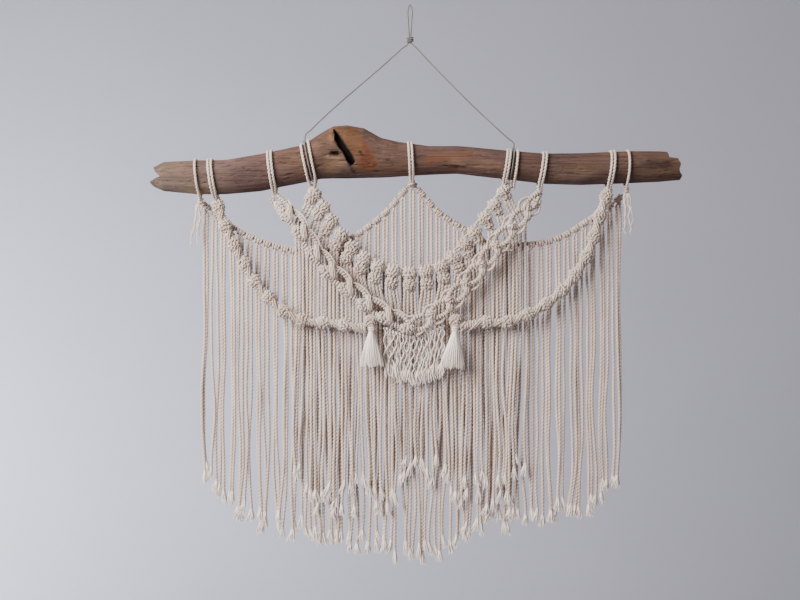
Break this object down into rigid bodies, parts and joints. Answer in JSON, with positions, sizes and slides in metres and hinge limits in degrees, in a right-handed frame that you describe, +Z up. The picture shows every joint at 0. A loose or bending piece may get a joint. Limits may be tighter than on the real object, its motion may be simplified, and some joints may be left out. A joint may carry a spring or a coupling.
{
  "type": "macrame wall hanging on a driftwood branch",
  "caption": "Cream cotton macrame wall hanging: layered fringe, a square-knot collar, a lattice garland and spiral bars with tassels, looped over a driftwood branch on hanging twine.",
  "frame": {"origin": "where a wall nail carries the top of the hanging twine", "axes": "+Z up, +X to the right seen from the front, the front faces -Y and the wall is on the +Y side"},
  "size_m": [0.6356, 0.0527, 0.6757],
  "materials": {
    "driftwood": "weathered, bare",
    "twine": "thin twisted twine",
    "cotton_cord": "three-ply twisted cotton",
    "loose_cotton": "combed-out cotton"
  },
  "bodies": {
    "root": {"driftwood_branch": "driftwood", "hanging_twine": "twine", "twine_hitch": "twine", "twine_tie_left": "twine", "twine_tie_right": "twine", "fringe_left": "cotton_cord", "fringe_right": "cotton_cord", "fringe_peak": "cotton_cord", "collar": "cotton_cord", "lattice_garland": "cotton_cord", "spiral_left": "cotton_cord", "spiral_right": "cotton_cord", "tassel_left": "loose_cotton", "tassel_right": "loose_cotton", "centre_fringe": "loose_cotton"}
  },
  "joints": []
}
